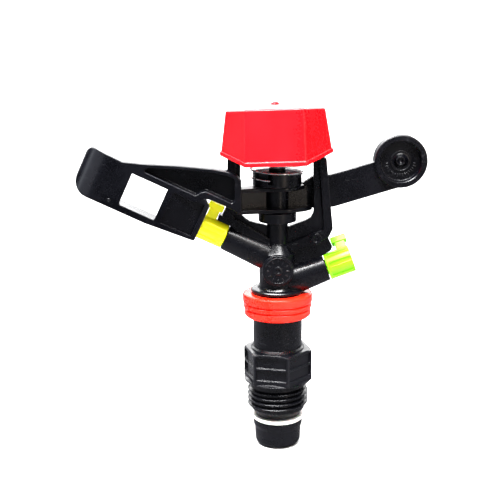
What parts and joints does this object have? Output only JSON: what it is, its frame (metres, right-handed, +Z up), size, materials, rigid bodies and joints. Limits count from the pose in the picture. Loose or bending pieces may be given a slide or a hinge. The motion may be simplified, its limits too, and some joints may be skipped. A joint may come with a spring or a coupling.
{
  "type": "impact sprinkler",
  "caption": "Plastic full-circle impact sprinkler with a threaded nipple, sprung arm with spoon and window, range and rear nozzles, and a six-sided cap.",
  "frame": {"origin": "on the rotor's axis, at the underside of the hexagon, where the thread ends", "axes": "+Z up along the axis that the rotor turns on; +X towards the rear nozzle, -X towards the range nozzle; -Y is the side that the spoon swings to"},
  "size_m": [0.1174, 0.0338, 0.1196],
  "materials": {
    "black_plastic": "moulded, satin",
    "cap_red": "moulded, satin gloss",
    "ring_red": "moulded, satin gloss",
    "nozzle_yellow": "moulded, satin",
    "nozzle_green": "moulded, satin",
    "washer_white": "smooth",
    "bush_nylon": "smooth",
    "seal_rubber": "matt",
    "spring_steel": "drawn wire"
  },
  "bodies": {
    "base": {"threaded_nipple": "black_plastic", "seal_washer": "seal_rubber", "upper_thrust_washer": "washer_white", "lower_spring_washer": "spring_steel"},
    "rotor": {"inlet_tube": "black_plastic", "tube_retainer": "black_plastic", "thrust_washer": "washer_white", "pressure_spring": "spring_steel", "upper_spring_washer": "spring_steel", "dust_ring": "ring_red", "rotor_body": "black_plastic", "stream_straightener": "bush_nylon", "range_nozzle_seal": "seal_rubber", "rear_nozzle_seal": "seal_rubber", "fulcrum_pin": "spring_steel", "pin_top_bush": "bush_nylon", "arm_thrust_collar": "black_plastic", "torsion_spring": "spring_steel", "bridge_cap": "cap_red"},
    "arm": {"impact_arm": "black_plastic", "lower_arm_bush": "bush_nylon", "upper_arm_bush": "bush_nylon"},
    "range_nozzle": {"range_nozzle": "nozzle_yellow"},
    "rear_nozzle": {"rear_nozzle": "nozzle_green"}
  },
  "joints": [
    {"name": "rotor_spin", "type": "hinge", "parent": "base", "child": "rotor", "pos_m": [0, 0, 0.02], "axis": [0, 0, 1], "continuous": true},
    {"name": "arm_swing", "type": "hinge", "parent": "rotor", "child": "arm", "pos_m": [0, 0, 0.0635], "axis": [0, 0, 1], "range_deg": [0, 130], "stiffness_Nm_per_rad": 0.004, "springref_deg": -45.84},
    {"name": "range_nozzle_twist", "type": "hinge", "parent": "rotor", "child": "range_nozzle", "pos_m": [-0.01783, 0, 0.05079], "axis": [-0.9048, 0, 0.4258], "range_deg": [0, 60]},
    {"name": "rear_nozzle_twist", "type": "hinge", "parent": "rotor", "child": "rear_nozzle", "pos_m": [0.01694, 0, 0.0398], "axis": [-0.9409, 0, -0.3387], "range_deg": [0, 60]}
  ]
}
